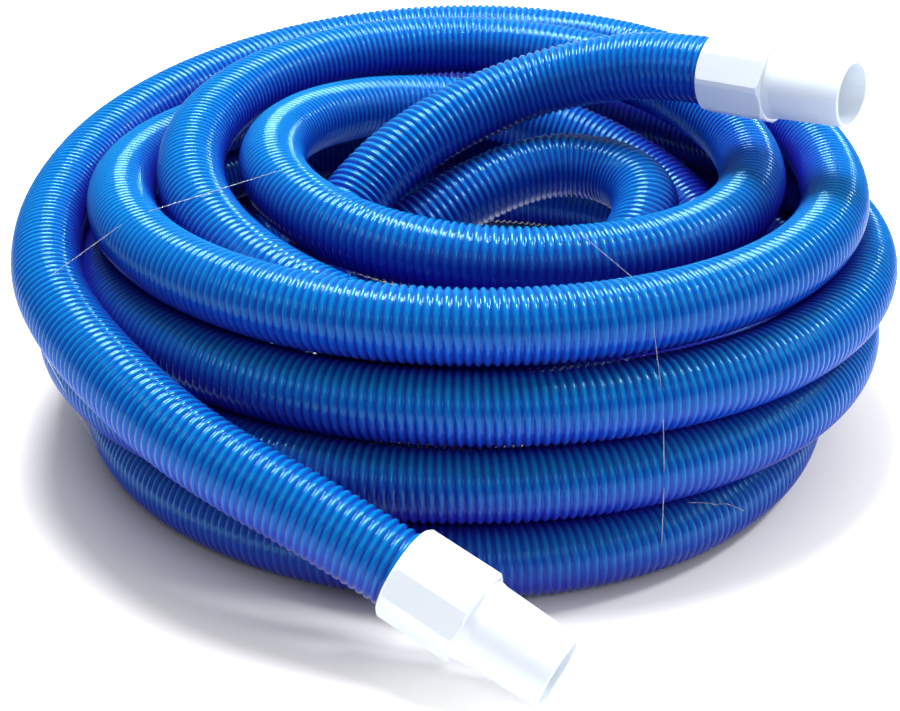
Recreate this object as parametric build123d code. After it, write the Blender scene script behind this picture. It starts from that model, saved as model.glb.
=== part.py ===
from build123d import *
from math import cos, pi, radians, sin, tan
import os

# Vacuum hose, coiled, with a fixed cuff at its upper end and a swivel cuff at its lower end.
# Millimetres. The floor is z = 0, and the origin is under the middle of the whole part.

# Hose
HOSE_OD = 44.0
HOSE_BORE = 38.0
HOSE_R = HOSE_OD / 2
COIL_AXIS = (20.0, 41.6)  # where the coil's upright axis stands

# Cuffs, measured along the axis from the grip's open end
CUFF_LENGTH = 97.0
GRIP_LENGTH = 46.0
GRIP_FLATS = 50.8
GRIP_CORNERS = 53.6
GRIP_ROUND = 1.6
SHOULDER_LENGTH = 5.0
SPIGOT_OD = 45.4
MOUTH_OD = 42.0
MOUTH_ROUND = 0.8
BORE_D = 38.1  # one and a half inches
HOSE_DEPTH = 41.0  # how far the hose reaches into a cuff

# Swivel: a sleeve glued on the hose turns in a bush pressed into the cuff
SLEEVE_OD = 45.4
FLANGE_OD = 46.9
FLANGE_THICK = 3.0
BUSH_BORE = 45.5
SWIVEL_BORE = 47.06
BUSH_START = 0.8
END_PLAY = 0.3
GASKET_THICK = 2.0
GASKET_BORE = 39.2
GASKET_OD = 46.4

# Where the cuffs lie: heading in plan and slope below level, in degrees
SWIVEL_HEADING = -28.5
SWIVEL_SLOPE = 20.0
SWIVEL_START = (-41.5, -321.0)
FIXED_HEADING = -38.0
FIXED_SLOPE = -2.0
FIXED_START = (154.0, -0.5, 227.0)
# How far the hose runs straight before it enters each cuff
FIXED_LEAD = 18.0
SWIVEL_LEAD = 34.0

# The hose between the fixed cuff and the coil, and between the coil and the swivel cuff
TOP_RUN = [
    (101, 33, 221), (62, 46, 210), (23, 44, 198.5), (-16, 26, 186),
    (-52, 0, 170), (-82, -28, 147), (-101, -64, 124), (-104, -98, 110),
]
FRONT_RUN = [(-270, -98, 130), (-244, -158, 119), (-197, -222, 106), (-150, -265, 90)]

# The coil's four layers: height, then radius and centre of its outer turn, then of its inner one
LAYERS = [
    (22.0, 236.0, (-13.0, -17.0), 170.0, (-8.0, 0.0)),
    (66.0, 254.0, (-8.5, -4.0), 162.0, (5.0, 0.0)),
    (110.0, 244.5, (10.5, 2.5), 137.0, (2.0, -2.0)),
    (154.0, 233.5, (1.5, 5.0), 158.0, (25.0, 13.0)),
]
# The two turns that cross over the top at the back, each an arc through three points
CROWN = [
    [(236, 0, 153), (0, 276, 177), FRONT_RUN[0]],
    [(184, 0, 154), (0, 214, 184), (-165, -95, 150)],
]
# The small turn that lies loose in the hollow: an arc through three points, and one on from it
LOOSE_TURN = [(50, -122, 116), (108, -4, 149), (10, 14, 146), (-120, -68, 82)]

# Clear ties, pulled tight round the coil's section: the angle of each, and the loose turns
# that it takes in, as (radius, height)
TIE_WIDTH = 1.6
TIE_PROUD = 0.6  # it lies between two ribs, half sunk below their crests
TIES = {
    "tie_left": (209.0, [(288, 124), (115, 129)]),
    "tie_right": (292.0, []),
}


def on_axis(x, y):
    """A point of the plan, moved so that the coil's axis stands at COIL_AXIS."""
    return x + COIL_AXIS[0], y + COIL_AXIS[1]


def place(points):
    return [Vector(*on_axis(x, y), z) for x, y, z in points]


def axis_plane(start, heading, slope):
    """A plane at a cuff's open end, whose normal points out of the cuff's mouth."""
    h, s = radians(heading), radians(slope)
    out = (cos(h) * cos(s), sin(h) * cos(s), -sin(s))
    return Plane(origin=start, x_dir=(-sin(h), cos(h), 0), z_dir=out)


def swivel_plane():
    """The swivel cuff lies with the edge of its mouth on the floor."""
    s = radians(SWIVEL_SLOPE)
    height = CUFF_LENGTH * sin(s) + MOUTH_OD / 2 * cos(s)
    return axis_plane((*on_axis(*SWIVEL_START), height), SWIVEL_HEADING, SWIVEL_SLOPE)


def fixed_plane():
    x, y, z = FIXED_START
    return axis_plane((*on_axis(x, y), z), FIXED_HEADING, FIXED_SLOPE)


def along(plane, distance):
    return plane.origin + plane.z_dir * distance


def turned(profile):
    """A solid turned about the Z axis from (radius, height) points."""
    return revolve(Plane.XZ * make_face(Polyline(*profile, close=True)), Axis.Z)


def ring(inner_d, outer_d, start, length):
    return Pos(0, 0, start) * (
        Cylinder(outer_d / 2, length, align=(Align.CENTER, Align.CENTER, Align.MIN))
        - Cylinder(inner_d / 2, length, align=(Align.CENTER, Align.CENTER, Align.MIN))
    )


def cuff_outside():
    """Eight-sided grip with rounded ends, a short shoulder and a tapered spigot."""
    corner = GRIP_CORNERS / 2
    grip = turned([
        (0, 0), (corner - GRIP_ROUND, 0), (corner, GRIP_ROUND),
        (corner, GRIP_LENGTH - GRIP_ROUND), (corner - GRIP_ROUND, GRIP_LENGTH), (0, GRIP_LENGTH),
    ])
    flats = RegularPolygon(GRIP_FLATS / 2, 8, major_radius=False)
    grip = grip & extrude(flats, GRIP_LENGTH)
    shoulder_top = GRIP_LENGTH + SHOULDER_LENGTH
    spigot = turned([
        (0, GRIP_LENGTH - 1), (GRIP_FLATS / 2 - GRIP_ROUND, GRIP_LENGTH - 1),
        (GRIP_FLATS / 2 - GRIP_ROUND, GRIP_LENGTH), (SPIGOT_OD / 2, shoulder_top),
        (MOUTH_OD / 2, CUFF_LENGTH - MOUTH_ROUND), (MOUTH_OD / 2 - MOUTH_ROUND, CUFF_LENGTH),
        (0, CUFF_LENGTH),
    ])
    return grip + spigot


def cuff_shell(socket_d, socket_depth):
    """A cuff with a socket for the hose in its grip and a plain bore through its spigot."""
    inside = turned([
        (0, -1), (socket_d / 2, -1), (socket_d / 2, socket_depth), (BORE_D / 2, socket_depth),
        (BORE_D / 2, CUFF_LENGTH - MOUTH_ROUND), (BORE_D / 2 + MOUTH_ROUND, CUFF_LENGTH),
        (BORE_D / 2 + MOUTH_ROUND, CUFF_LENGTH + 1), (0, CUFF_LENGTH + 1),
    ])
    return cuff_outside() - inside


def swivel_sleeve():
    body = ring(HOSE_OD, SLEEVE_OD, 0, HOSE_DEPTH)
    return body + ring(HOSE_OD, FLANGE_OD, HOSE_DEPTH - FLANGE_THICK, FLANGE_THICK)


def swivel_bush():
    end = HOSE_DEPTH - FLANGE_THICK - END_PLAY
    return ring(BUSH_BORE, SWIVEL_BORE, BUSH_START, end - BUSH_START)


def corner_radii(points):
    """The largest arc that each corner's two runs allow: 0.45 of the shorter run."""
    radii = []
    for before, here, after in zip(points, points[1:], points[2:]):
        turn = (here - before).get_angle(after - here)
        shorter = min((here - before).length, (after - here).length)
        radii.append(0.45 * shorter / tan(radians(turn) / 2))
    return radii


def hose_run(name, points):
    """A hollow tube on straight runs joined by tangent arcs."""
    radii = corner_radii(points)
    path = FilletPolyline(*points, radius=radii)
    start = Plane(origin=path @ 0, z_dir=path % 0)
    tube = sweep(start * Circle(HOSE_R), path) - sweep(start * Circle(HOSE_BORE / 2), path)
    section = pi * (HOSE_R**2 - (HOSE_BORE / 2) ** 2)
    print(name, "arc radii", [round(r) for r in radii])
    print(name, "volume / (section x length)", round(tube.volume / section / path.length, 4))
    return tube


def coil_layer(height, outer_r, outer_centre, inner_r, inner_centre):
    """One layer: a flat ring with a round rim outside and inside, one hose thick."""
    plate = Cylinder(outer_r, HOSE_OD)
    rim = Torus(outer_r, HOSE_R)
    hole = Cylinder(inner_r, HOSE_OD)
    lip = Torus(inner_r, HOSE_R)
    x0, y0 = on_axis(*outer_centre)
    x1, y1 = on_axis(*inner_centre)
    outer = Pos(x0, y0, height) * (plate + rim)
    return outer - Pos(x1, y1, height) * hole + Pos(x1, y1, height) * lip


def coil():
    """The closed outer shape of the wound turns."""
    solid = coil_layer(*LAYERS[0])
    for layer in LAYERS[1:]:
        solid = solid + coil_layer(*layer)
    arcs = [ThreePointArc(*place(points)) for points in CROWN]
    *through, last = place(LOOSE_TURN)
    arcs.append(ThreePointArc(*through))
    arcs.append(TangentArc(through[-1], last, tangent=arcs[-1] % 1))
    for arc in arcs:
        solid = solid + sweep(Plane(origin=arc @ 0, z_dir=arc % 0) * Circle(HOSE_R), arc)
    return solid


def hull(rounds, reach):
    """The face that a taut line encloses, round circles of the hose's radius plus reach."""
    radius = HOSE_R + reach
    circles = [(Pos(r, max(z, HOSE_R + TIE_PROUD)) * Circle(radius)).edge() for r, z in rounds]
    return make_hull(circles).face()


def tie(angle, loose_turns):
    """A thin band round the coil's section at one angle."""
    a = radians(angle)
    rounds = list(loose_turns)
    for height, outer_r, outer_centre, inner_r, inner_centre in LAYERS:
        for radius, centre in ((outer_r, outer_centre), (inner_r, inner_centre)):
            rounds.append((radius + centre[0] * cos(a) + centre[1] * sin(a), height))
    band = hull(rounds, TIE_PROUD) - hull(rounds, -TIE_PROUD)
    section = Plane(origin=(*COIL_AXIS, 0), x_dir=(cos(a), sin(a), 0), z_dir=(sin(a), -cos(a), 0))
    return section * extrude(band, TIE_WIDTH / 2, both=True)


def main():
    os.makedirs("parts", exist_ok=True)
    swivel, fixed = swivel_plane(), fixed_plane()
    washer_end = HOSE_DEPTH + GASKET_THICK
    top_points = [along(fixed, HOSE_DEPTH), along(fixed, -FIXED_LEAD), *place(TOP_RUN)]
    front_points = [*place(FRONT_RUN), along(swivel, -SWIVEL_LEAD), along(swivel, HOSE_DEPTH)]
    nodes = {
        "hose_coil": coil(),
        "hose_top_run": hose_run("hose_top_run", top_points),
        "hose_front_run": hose_run("hose_front_run", front_points),
        "fixed_cuff_shell": fixed * cuff_shell(HOSE_OD, washer_end),
        "fixed_cuff_washer": fixed * ring(GASKET_BORE, HOSE_OD, HOSE_DEPTH, GASKET_THICK),
        "swivel_cuff_shell": swivel * cuff_shell(SWIVEL_BORE, washer_end + END_PLAY),
        "swivel_cuff_bush": swivel * swivel_bush(),
        "swivel_cuff_sleeve": swivel * swivel_sleeve(),
        "swivel_cuff_gasket": swivel * ring(GASKET_BORE, GASKET_OD, HOSE_DEPTH, GASKET_THICK),
    }
    for name, (angle, loose_turns) in TIES.items():
        nodes[name] = tie(angle, loose_turns)
    for name, solid in nodes.items():
        export_step(solid, f"parts/{name}.step")


main()
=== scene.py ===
from math import cos, pi, radians, sin

import bpy
import numpy as np
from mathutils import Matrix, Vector


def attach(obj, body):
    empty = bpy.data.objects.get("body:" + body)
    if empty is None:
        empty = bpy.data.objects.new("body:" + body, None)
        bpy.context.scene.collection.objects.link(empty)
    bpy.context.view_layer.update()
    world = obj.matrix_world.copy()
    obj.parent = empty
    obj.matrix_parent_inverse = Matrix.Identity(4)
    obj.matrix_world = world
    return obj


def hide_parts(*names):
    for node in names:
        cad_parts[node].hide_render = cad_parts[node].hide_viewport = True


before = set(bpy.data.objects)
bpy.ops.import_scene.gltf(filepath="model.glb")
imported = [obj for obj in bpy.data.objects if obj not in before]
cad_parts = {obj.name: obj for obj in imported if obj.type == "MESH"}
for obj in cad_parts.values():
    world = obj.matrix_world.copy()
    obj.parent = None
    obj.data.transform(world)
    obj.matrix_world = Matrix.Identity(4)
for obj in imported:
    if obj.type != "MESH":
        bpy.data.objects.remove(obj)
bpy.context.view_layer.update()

# ---------------------------------------------------------------- sizes, in metres
HOSE_OD = 0.044
HOSE_R = HOSE_OD / 2
HOSE_BORE = 0.038
RIB_PITCH = 0.005
RIB_DEPTH = 0.0018
COIL_AXIS = Vector((0.020, 0.0416, 0))

CUFF_LENGTH = 0.097
MOUTH_R = 0.021
HOSE_DEPTH = 0.041  # how far the hose reaches into a cuff

SWIVEL_HEADING = radians(-28.5)
SWIVEL_SLOPE = radians(20)
SWIVEL_PLAN = (-0.0415, -0.321)
SWIVEL_LEAD = 0.034  # how far the hose runs straight before the cuff
FIXED_HEADING = radians(-38)
FIXED_SLOPE = radians(-2)
FIXED_START = (0.154, -0.0005, 0.227)
FIXED_LEAD = 0.018

# ---------------------------------------------------------------- the hose's route
# About the coil's axis, in metres. From the fixed cuff, over the hollow and down into it.
TOP_RUN = [
    (0.101, 0.033, 0.221), (0.062, 0.046, 0.210), (0.023, 0.044, 0.1985), (-0.016, 0.026, 0.186),
    (-0.052, 0.000, 0.170), (-0.082, -0.028, 0.147), (-0.101, -0.064, 0.124), (-0.104, -0.098, 0.110),
]
# On under the inner turn, round the small loose turn in the hollow, and down to the wound turns.
LOOSE_TURN = [
    (-0.082, -0.137, 0.104), (-0.032, -0.152, 0.104), (0.036, -0.134, 0.112), (0.088, -0.090, 0.128),
    (0.111, -0.044, 0.142), (0.110, -0.006, 0.149), (0.088, 0.022, 0.153), (0.050, 0.028, 0.154),
    (0.004, 0.010, 0.144), (-0.044, -0.015, 0.120), (-0.088, -0.034, 0.095), (-0.120, -0.060, 0.076),
    (-0.134, -0.096, 0.064), (-0.116, -0.130, 0.058), (-0.076, -0.150, 0.058), (-0.034, -0.159, 0.058),
]
# From the coil down to the swivel cuff on the floor.
FRONT_RUN = [
    (-0.270, -0.098, 0.130), (-0.244, -0.158, 0.119), (-0.197, -0.222, 0.106), (-0.150, -0.265, 0.090),
]
# The wound turns, inside ones first. Each row: the radius at the back, left, front and right, and
# then the height there, in millimetres. The hose winds anticlockwise, seen from above.
TURNS = [
    (None, None, 158, 172, None, None, 60, 82),
    (174, 134, 143, 184, 146, 166, 154, 154),
    (214, 187, 194, 206, 184, 168, 120, 62),
    (198, 203, 200, 162, 68, 58, 25, 22),
    (190, 238, 264, 212, 22, 22, 22.5, 22),
    (246, 272, 254, 249, 44, 66, 66.3, 67.6),
    (245, 245, 242.5, 257, 90, 106, 108.4, 112.2),
    (238, 233, 229, 236.5, 134, 150, 151.3, 151.8),
    (276, 275, None, None, 177, 138, None, None),
]
POINTS_A_TURN = 16
# A quadratic spline runs inside its control points by this much on a circle of 16 points
OUTSET = 1.0195


def turn_keys():
    """(angle in degrees, radius, height) at each quarter of each turn, in millimetres."""
    keys = []
    for turn, row in enumerate(TURNS):
        for quarter in range(4):
            if row[quarter] is not None:
                keys.append((360 * turn + 90 * (quarter + 1), row[quarter], row[quarter + 4]))
    return keys


def between(keys, angle):
    """Radius and height at an angle, on a smooth curve through the keys."""
    i = 0
    while i < len(keys) - 2 and angle > keys[i + 1][0]:
        i += 1
    before, here, there = keys[max(i - 1, 0)], keys[i], keys[i + 1]
    after = keys[min(i + 2, len(keys) - 1)]
    span = there[0] - here[0]
    t = (angle - here[0]) / span
    values = []
    for k in (1, 2):
        slope_here = (there[k] - before[k]) / (there[0] - before[0]) * span
        slope_there = (after[k] - here[k]) / (after[0] - here[0]) * span
        values.append(
            (2 * t**3 - 3 * t**2 + 1) * here[k] + (t**3 - 2 * t**2 + t) * slope_here
            + (3 * t**2 - 2 * t**3) * there[k] + (t**3 - t**2) * slope_there
        )
    return values


def coil_points():
    keys = turn_keys()
    step = 360 / POINTS_A_TURN
    points = []
    for i in range(int((keys[-1][0] - keys[0][0]) / step) + 1):
        angle = keys[0][0] + i * step
        radius, height = between(keys, angle)
        a, r = radians(angle), radius * OUTSET / 1000
        points.append((r * cos(a), r * sin(a), max(height / 1000, HOSE_R)))
    return points


def heading(angle, slope):
    return Vector((cos(angle) * cos(slope), sin(angle) * cos(slope), -sin(slope)))


FIXED_OUT = heading(FIXED_HEADING, FIXED_SLOPE)
SWIVEL_OUT = heading(SWIVEL_HEADING, SWIVEL_SLOPE)
FIXED_END = COIL_AXIS + Vector(FIXED_START)
SWIVEL_HEIGHT = CUFF_LENGTH * sin(SWIVEL_SLOPE) + MOUTH_R * cos(SWIVEL_SLOPE)
SWIVEL_END = COIL_AXIS + Vector((*SWIVEL_PLAN, SWIVEL_HEIGHT))


def hose_route():
    """The hose's control points, from the inside of the fixed cuff to that of the swivel cuff."""
    wound = [COIL_AXIS + Vector(p) for p in TOP_RUN + LOOSE_TURN + coil_points() + FRONT_RUN]
    first = [FIXED_END + FIXED_OUT * HOSE_DEPTH, FIXED_END - FIXED_OUT * FIXED_LEAD]
    last = [SWIVEL_END - SWIVEL_OUT * SWIVEL_LEAD, SWIVEL_END + SWIVEL_OUT * HOSE_DEPTH]
    return first + wound + last


def spline_points(route):
    """Points along the smooth NURBS curve that has the route as its control points."""
    data = bpy.data.curves.new("route", "CURVE")
    data.dimensions = "3D"
    spline = data.splines.new("NURBS")
    spline.points.add(len(route) - 1)
    for point, co in zip(spline.points, route):
        point.co = (*co, 1)
    spline.order_u = 3
    spline.use_endpoint_u = True
    spline.resolution_u = 24
    curve = bpy.data.objects.new("route", data)
    line = bpy.data.meshes.new_from_object(curve)
    points = np.array([v.co for v in line.vertices])
    bpy.data.objects.remove(curve)
    bpy.data.curves.remove(data)
    bpy.data.meshes.remove(line)
    return points


# ---------------------------------------------------------------- camera
def make_camera():
    data = bpy.data.cameras.new("camera")
    data.sensor_width = 36
    data.lens = 69.6
    camera = bpy.data.objects.new("camera", data)
    camera.location = (0.003, -1.0497, 0.5546)
    camera.rotation_euler = (radians(90 - 26), 0, 0)
    bpy.context.scene.collection.objects.link(camera)
    bpy.context.scene.camera = camera


make_camera()


# ---------------------------------------------------------------- the hose
# One rib and its groove: place along the pitch, and height as a share of the rib's depth
RIB_PROFILE = [(0.00, 0.0), (0.15, 0.42), (0.33, 0.86), (0.50, 1.0), (0.67, 0.86), (0.85, 0.42)]
SIDES = 40
BORE_STEP = 0.010
END_GAP = 0.0002  # points of the ribs nearer to an end than this are part of its rim


class Path:
    """A polyline with places and turn-free frames at any distance along it."""

    def __init__(self, points):
        steps = np.linalg.norm(np.diff(points, axis=0), axis=1)
        keep = np.concatenate([[True], steps > 1e-7])
        self.points = points[keep]
        steps = np.linalg.norm(np.diff(self.points, axis=0), axis=1)
        self.s = np.concatenate([[0], np.cumsum(steps)])
        self.length = self.s[-1]
        self.tangents = np.gradient(self.points, self.s, axis=0)
        self.tangents /= np.linalg.norm(self.tangents, axis=1)[:, None]
        self.sides = self.carried()

    def carried(self):
        """A side vector at each point, carried along the line without twist."""
        side = np.cross(self.tangents[0], (0, 0, 1))
        side /= np.linalg.norm(side)
        out = [side]
        for tangent in self.tangents[1:]:
            side = side - tangent * side.dot(tangent)
            side /= np.linalg.norm(side)
            out.append(side)
        return np.array(out)

    def at(self, s, values):
        return np.stack([np.interp(s, self.s, values[:, k]) for k in range(3)], axis=-1)

    def around(self, s, angle, radius):
        """Points at those distances, angles and radii."""
        tangent = self.at(s, self.tangents)
        tangent /= np.linalg.norm(tangent, axis=-1)[..., None]
        side = self.at(s, self.sides)
        side -= tangent * (side * tangent).sum(-1)[..., None]
        side /= np.linalg.norm(side, axis=-1)[..., None]
        up = np.cross(tangent, side)
        turned = side * np.cos(angle)[..., None] + up * np.sin(angle)[..., None]
        return self.at(s, self.points) + turned * np.asarray(radius)[..., None]


def ribbed_grid(path):
    """Rows of points that follow the ribs' screw, their faces, and each point's depth in a groove.

    The last result says which points lie past the start (-1) or the end (1) of the hose.
    """
    per_turn = len(RIB_PROFILE)
    turns = int(path.length / RIB_PITCH) + 2
    rows = turns * per_turn
    i = np.arange(rows)[:, None]
    j = np.arange(SIDES)[None, :]
    place = np.array([p for p, _ in RIB_PROFILE])[i % per_turn]
    rise = np.array([h for _, h in RIB_PROFILE])[i % per_turn]
    s = (i // per_turn + place - 1 + j / SIDES) * RIB_PITCH
    past = (s > path.length - END_GAP).astype(int) - (s < END_GAP).astype(int)
    angle = 2 * pi * j / SIDES + 0 * s
    radius = HOSE_R - RIB_DEPTH * (1 - rise) + 0 * s
    points = path.around(np.clip(s, 0, path.length), angle, radius).reshape(-1, 3)
    groove = np.repeat(1 - rise[:, 0], SIDES)
    a = np.arange(rows - 1)[:, None] * SIDES + j
    # The seam's last column joins the first one a whole turn of the screw further on
    right = np.where(j < SIDES - 1, a + 1, a + 1 - SIDES + SIDES * per_turn)
    faces = np.stack([a, right, right + SIDES, a + SIDES], axis=-1).reshape(-1, 4)
    faces = faces[(faces < rows * SIDES).all(axis=1)]
    return points, faces, groove, past.reshape(-1)


def bore_grid(path):
    """The bore's smooth wall, with a flat rim at each end, and its faces."""
    places = np.linspace(0, path.length, int(path.length / BORE_STEP) + 1)
    s = np.concatenate([[0], places, [path.length]])[:, None]
    j = np.arange(SIDES)[None, :]
    radius = np.full(s.shape, HOSE_BORE / 2)
    radius[[0, -1]] = HOSE_R - RIB_DEPTH
    around = np.zeros(j.shape)
    points = path.around(s + around, 2 * pi * j / SIDES + 0 * s, radius + around)
    a = np.arange(len(s) - 1)[:, None] * SIDES + j
    right = np.where(j < SIDES - 1, a + 1, a + 1 - SIDES)
    faces = np.stack([a, a + SIDES, right + SIDES, right], axis=-1)
    return points.reshape(-1, 3), faces.reshape(-1, 4)


def welded(faces):
    """Faces without repeated corners: a face that shrinks to a line or a point is left out."""
    rolled = faces == np.roll(faces, 1, axis=1)
    crossed = (faces[:, 0] == faces[:, 2]) | (faces[:, 1] == faces[:, 3])
    repeats = rolled.any(axis=1) | crossed
    short = [list(dict.fromkeys(face)) for face in faces[repeats].tolist()]
    return faces[~repeats].tolist() + [face for face in short if len(face) > 2]


def hose_mesh(path):
    """One closed mesh: the ribs outside, the bore inside, and a rim at each end."""
    points, faces, groove, past = ribbed_grid(path)
    bore_points, bore_faces = bore_grid(path)
    count, side = len(points), np.arange(len(points)) % SIDES
    swap = np.where(past < 0, count + side, np.arange(count))
    swap = np.where(past > 0, count + len(bore_points) - SIDES + side, swap)
    faces = np.concatenate([swap[faces], bore_faces + count])
    points = np.concatenate([points, bore_points])
    groove = np.concatenate([groove, np.full(len(bore_points), 0.5)])
    used, index = np.unique(faces, return_inverse=True)
    mesh = bpy.data.meshes.new("hose")
    mesh.from_pydata(points[used].tolist(), [], welded(index.reshape(-1, 4)))
    layer = mesh.attributes.new("groove", "FLOAT", "POINT")
    layer.data.foreach_set("value", groove[used].astype(np.float32))
    mesh.shade_smooth()
    mesh.update()
    return mesh


def make_hose():
    path = Path(spline_points(hose_route()))
    hose = bpy.data.objects.new("hose", hose_mesh(path))
    bpy.context.scene.collection.objects.link(hose)
    return hose, path


# ---------------------------------------------------------------- the ties
TIE_R = 0.00025
TIE_SUNK = 0.0014  # a tie beds in between two ribs
TIE_ANGLES = {"tie_left": 209, "tie_right": 292}
HOLLOW_R = 0.10  # strands nearer to the coil's axis than this lie loose in the hollow
CORNERS = 72  # points on the circle round a strand that a tie goes over
LOWEST_TURN_R = 0.228  # about where the lowest outer turn lies, under the tails
TAIL_STEPS = 8
TAIL_BOW = 6  # degrees
# The right tie's loose ends: start and turn about the axis, and how high each end lies, in degrees
TAILS = [(296, 9, (62, 12)), (301, 12, (66, 50))]


def crossings(path, angle):
    """(distance from the coil's axis, height) of each strand that crosses the section at an angle."""
    out = np.array([cos(angle), sin(angle), 0])
    across = np.array([-sin(angle), cos(angle), 0])
    local = path.points - np.array(COIL_AXIS)
    side, reach = local @ across, local @ out
    found = []
    for i in np.nonzero(side[:-1] * side[1:] <= 0)[0]:
        t = side[i] / (side[i] - side[i + 1])
        r = reach[i] + (reach[i + 1] - reach[i]) * t
        if r > HOLLOW_R:
            found.append((r, local[i, 2] + (local[i + 1, 2] - local[i, 2]) * t))
    return found


def taut_line(rounds, radius):
    """The convex line round circles of one radius, as (distance, height) points."""
    around = [2 * pi * k / CORNERS for k in range(CORNERS)]
    points = sorted((r + radius * cos(a), z + radius * sin(a)) for r, z in rounds for a in around)
    line = []
    for ordered in (points, points[::-1]):
        half = []
        for p in ordered:
            while len(half) > 1 and (
                (half[-1][0] - half[-2][0]) * (p[1] - half[-2][1])
                <= (half[-1][1] - half[-2][1]) * (p[0] - half[-2][0])
            ):
                half.pop()
            half.append(p)
        line += half[:-1]
    return line


def filament(name, lines, material):
    """A round clear filament along each line of points. A closed line is marked by True."""
    data = bpy.data.curves.new(name, "CURVE")
    data.dimensions = "3D"
    data.bevel_depth = TIE_R
    data.bevel_resolution = 3
    data.use_fill_caps = True
    for points, closed in lines:
        spline = data.splines.new("POLY")
        spline.points.add(len(points) - 1)
        for point, co in zip(spline.points, points):
            point.co = (*co, 1)
        spline.use_cyclic_u = closed
    data.materials.append(material)
    piece = bpy.data.objects.new(name, data)
    bpy.context.scene.collection.objects.link(piece)
    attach(piece, "root")
    return piece


def tie_loop(path, degrees):
    angle = radians(degrees)
    out = Vector((cos(angle), sin(angle), 0))
    line = taut_line(crossings(path, angle), HOSE_R - TIE_SUNK)
    return [COIL_AXIS + out * r + Vector((0, 0, max(z, TIE_R))) for r, z in line]


def nearest(path, target):
    """How far along the hose the centreline comes nearest to a point."""
    gap = np.linalg.norm(path.points - np.array(target), axis=1)
    return path.s[gap.argmin()]


def loose_tail(path, start, turn, rise):
    """A tie's loose end, lying along the lowest outer turn."""
    points = []
    for k in range(TAIL_STEPS + 1):
        t = k / TAIL_STEPS
        azimuth = radians(start + turn * t)
        away = Vector((cos(azimuth), sin(azimuth), 0))
        s = nearest(path, COIL_AXIS + away * LOWEST_TURN_R + Vector((0, 0, HOSE_R)))
        middle = Vector(path.at(np.array([s]), path.points)[0])
        up = radians(rise[0] + (rise[1] - rise[0]) * t + TAIL_BOW * sin(pi * t))
        outward = away * cos(up) + Vector((0, 0, sin(up)))
        points.append(middle + outward * (HOSE_R + TIE_R))
    return points


def make_ties(path):
    material = clear_material()
    loops = {name: (tie_loop(path, angle), True) for name, angle in TIE_ANGLES.items()}
    left = filament("left_tie", [loops["tie_left"]], material)
    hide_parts("tie_left")
    tails = [(loose_tail(path, *tail), False) for tail in TAILS]
    right = filament("right_tie", [loops["tie_right"], *tails], material)
    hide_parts("tie_right")


# ---------------------------------------------------------------- materials
# Linear colours, with light and shade painted in. A crest and a groove each have a painted lit colour
# for faces that point up and a painted shaded colour for faces that point down, and the groove colours
# are painted shade in the grooves.
PAINTED_LIT_CREST, PAINTED_GROOVE_SHADE_UP = (0.0, 0.165, 0.38), (0.002, 0.05, 0.35)
PAINTED_SHADED_CREST, PAINTED_GROOVE_SHADE_DOWN = (0.001, 0.085, 0.50), (0.003, 0.032, 0.42)
PAINTED_SHADE_BLUE = (0.012, 0.011, 0.28)  # painted shade where neighbouring turns shut out the light
PAINTED_SHADE_REACH = 0.16  # metres
RUBBER = (0.045, 0.045, 0.047)
PALE_PLASTIC = (0.72, 0.71, 0.66)


def new_material(name):
    material = bpy.data.materials.new(name)
    material.use_nodes = True
    nodes = material.node_tree.nodes
    return material, nodes, material.node_tree.links, nodes["Principled BSDF"]


def set_inputs(node, values):
    for name, value in values.items():
        node.inputs[name].default_value = value


def roughened(nodes, links, shader, scale, strength, distance):
    """Gives the shader a fine uneven surface, and returns the noise behind it."""
    noise = nodes.new("ShaderNodeTexNoise")
    set_inputs(noise, {"Scale": scale})
    bump = nodes.new("ShaderNodeBump")
    set_inputs(bump, {"Strength": strength, "Distance": distance})
    links.new(noise.outputs["Fac"], bump.inputs["Height"])
    links.new(bump.outputs["Normal"], shader.inputs["Normal"])
    return noise.outputs["Fac"]


def mixed(nodes, links, share, first, second):
    """The colour first where share is 0 and second where it is 1. Either may be a socket."""
    mix = nodes.new("ShaderNodeMix")
    mix.data_type = "RGBA"
    links.new(share, mix.inputs["Factor"])
    for socket, colour in ((mix.inputs[6], first), (mix.inputs[7], second)):
        if isinstance(colour, bpy.types.NodeSocket):
            links.new(colour, socket)
        else:
            socket.default_value = (*colour, 1)
    return mix.outputs[2]


def remapped(nodes, links, value, low, high):
    """The value, stretched so that low becomes 0 and high becomes 1."""
    ramp = nodes.new("ShaderNodeMapRange")
    set_inputs(ramp, {"From Min": low, "From Max": high})
    links.new(value, ramp.inputs["Value"])
    return ramp.outputs["Result"]


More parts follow.
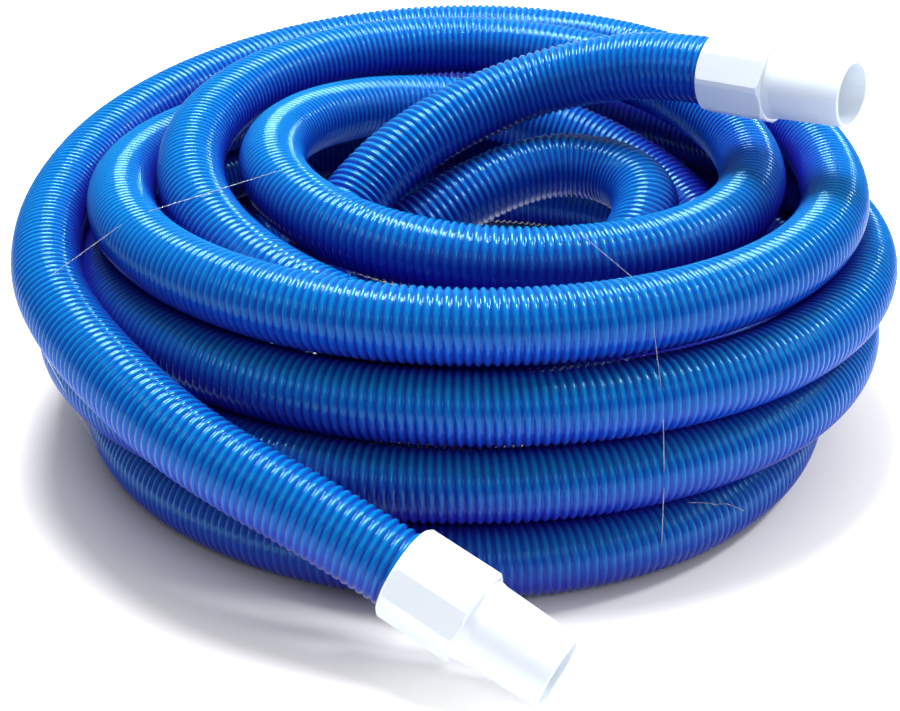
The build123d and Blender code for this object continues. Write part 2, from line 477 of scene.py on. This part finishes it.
def hose_material():
    """Translucent blown plastic, with painted light and shade: azure on open ribs and on faces that
    point up, painted shade in violet-blue in the grooves, on faces that point down and where turns
    meet.
    """
    material, nodes, links, shader = new_material("hose_blue")
    groove = nodes.new("ShaderNodeAttribute")
    groove.attribute_name = "groove"
    # painted shade in the grooves: the deeper a point lies in a groove, the more violet-blue its
    # colour
    lit_rib_colour = mixed(nodes, links, groove.outputs["Fac"], PAINTED_LIT_CREST, PAINTED_GROOVE_SHADE_UP)
    shaded_rib_colour = mixed(nodes, links, groove.outputs["Fac"], PAINTED_SHADED_CREST, PAINTED_GROOVE_SHADE_DOWN)
    facing = nodes.new("ShaderNodeSeparateXYZ")
    links.new(nodes.new("ShaderNodeNewGeometry").outputs["Normal"], facing.inputs["Vector"])
    # painted light and shade: faces that point up get the lit colour, faces that point down the shaded
    # one
    rib = mixed(nodes, links, remapped(nodes, links, facing.outputs["Z"], -0.2, 0.9), shaded_rib_colour, lit_rib_colour)
    # painted shade: ambient occlusion turns the colour dark violet-blue where turns lie close together
    shade_occlusion = nodes.new("ShaderNodeAmbientOcclusion")
    shade_occlusion.samples = 8
    set_inputs(shade_occlusion, {"Distance": PAINTED_SHADE_REACH})
    share = remapped(nodes, links, shade_occlusion.outputs["AO"], 0.2, 0.8)
    links.new(mixed(nodes, links, share, PAINTED_SHADE_BLUE, rib), shader.inputs["Base Color"])
    set_inputs(shader, {
        "Roughness": 0.16, "Specular IOR Level": 0.4, "Specular Tint": (0.3, 0.9, 1.0, 1),
        "Subsurface Weight": 0.3, "Subsurface Radius": (0.05, 0.25, 1.0), "Subsurface Scale": 0.008,
    })
    return material


def clear_material():
    """Clear nylon of the ties."""
    material, _, _, shader = new_material("tie_clear")
    set_inputs(shader, {
        "Base Color": (0.85, 0.92, 0.98, 1), "Roughness": 0.12,
        "Transmission Weight": 0.85, "IOR": 1.5,
    })
    return material


def cuff_material():
    """Satin white plastic. Its slight emission is painted light: the cuff glows though it is no lamp.
    """
    material, nodes, links, shader = new_material("cuff_white")
    roughened(nodes, links, shader, 400, 0.06, 0.0005)
    # the emission set here is painted light that brightens the cuff
    set_inputs(shader, {
        "Base Color": (0.70, 0.76, 0.84, 1), "Roughness": 0.32,
        "Subsurface Weight": 0.25, "Subsurface Radius": (0.8, 0.9, 1.0), "Subsurface Scale": 0.004,
        "Emission Color": (0.9, 0.95, 1.0, 1), "Emission Strength": 0.05,
    })
    return material


def inner_material(name, colour, roughness, grain):
    """Rubber or low-friction plastic of the parts inside a cuff, with a fine uneven surface."""
    material, nodes, links, shader = new_material(name)
    noise = roughened(nodes, links, shader, 900, grain, 0.0003)
    light, dark = [tuple(c * k for c in colour) for k in (1.1, 0.85)]
    links.new(mixed(nodes, links, noise, dark, light), shader.inputs["Base Color"])
    set_inputs(shader, {"Roughness": roughness})
    return material


def dress(node, material):
    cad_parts[node].data.materials.clear()
    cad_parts[node].data.materials.append(material)


# ---------------------------------------------------------------- floor and light
FLOOR_HALF = 6
FLOOR_GREY = (0.72, 0.72, 0.72, 1)
GLOW = (1, 0.98, 0.94, 1)  # lightens the shadows round the coil, not those inside it
GLOW_STRENGTH = 0.7
GLOW_FROM, GLOW_TO = 0.23, 0.36  # distance from the middle where the glow starts and is full
WORLD_STRENGTH = 0.30
# Name, place, size and power of each disc of light. All point at the coil.
LIGHTS = [
    ("top", (-0.15, 0.5, 1.85), 0.9, 76),
    ("front", (0.4, -1.9, 1.5), 0.8, 9),
    ("right", (1.5, 0.4, 1.5), 0.4, 26),
]
LIT_POINT = Vector((0, 0, 0.1))


def make_floor():
    mesh = bpy.data.meshes.new("floor")
    corners = [(-1, -1), (1, -1), (1, 1), (-1, 1)]
    mesh.from_pydata([(x * FLOOR_HALF, y * FLOOR_HALF, 0) for x, y in corners], [], [(0, 1, 2, 3)])
    floor = bpy.data.objects.new("floor", mesh)
    bpy.context.scene.collection.objects.link(floor)
    material, nodes, links, shader = new_material("floor")
    set_inputs(shader, {"Base Color": FLOOR_GREY, "Roughness": 0.7, "Emission Color": GLOW})
    reach = nodes.new("ShaderNodeVectorMath")
    reach.operation = "LENGTH"
    links.new(nodes.new("ShaderNodeTexCoord").outputs["Object"], reach.inputs[0])
    glow = nodes.new("ShaderNodeMath")
    glow.operation = "MULTIPLY"
    glow.inputs[1].default_value = GLOW_STRENGTH
    links.new(remapped(nodes, links, reach.outputs["Value"], GLOW_FROM, GLOW_TO), glow.inputs[0])
    links.new(glow.outputs["Value"], shader.inputs["Emission Strength"])
    mesh.materials.append(material)


def area_light(name, place, size, power):
    data = bpy.data.lights.new(name, "AREA")
    data.shape = "DISK"
    data.size = size
    data.energy = power
    light = bpy.data.objects.new(name, data)
    light.location = place
    light.rotation_euler = (LIT_POINT - Vector(place)).to_track_quat("-Z", "Y").to_euler()
    bpy.context.scene.collection.objects.link(light)


def make_light():
    world = bpy.data.worlds.new("world")
    world.use_nodes = True
    background = world.node_tree.nodes["Background"]
    set_inputs(background, {"Color": (1, 1, 1, 1), "Strength": WORLD_STRENGTH})
    bpy.context.scene.world = world
    for light in LIGHTS:
        area_light(*light)


# ---------------------------------------------------------------- putting it together
hose, path = make_hose()
hose.data.materials.append(hose_material())
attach(hose, "root")
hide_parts("hose_coil", "hose_top_run", "hose_front_run")
make_ties(path)
white = cuff_material()
dress("fixed_cuff_shell", white)
dress("swivel_cuff_shell", white)
rubber = inner_material("seal_rubber", RUBBER, 0.6, 0.4)
dress("fixed_cuff_washer", rubber)
dress("swivel_cuff_gasket", rubber)
slippery = inner_material("bush_plastic", PALE_PLASTIC, 0.4, 0.1)
dress("swivel_cuff_bush", slippery)
dress("swivel_cuff_sleeve", slippery)

make_floor()
make_light()
bpy.context.scene.view_settings.view_transform = "Standard"
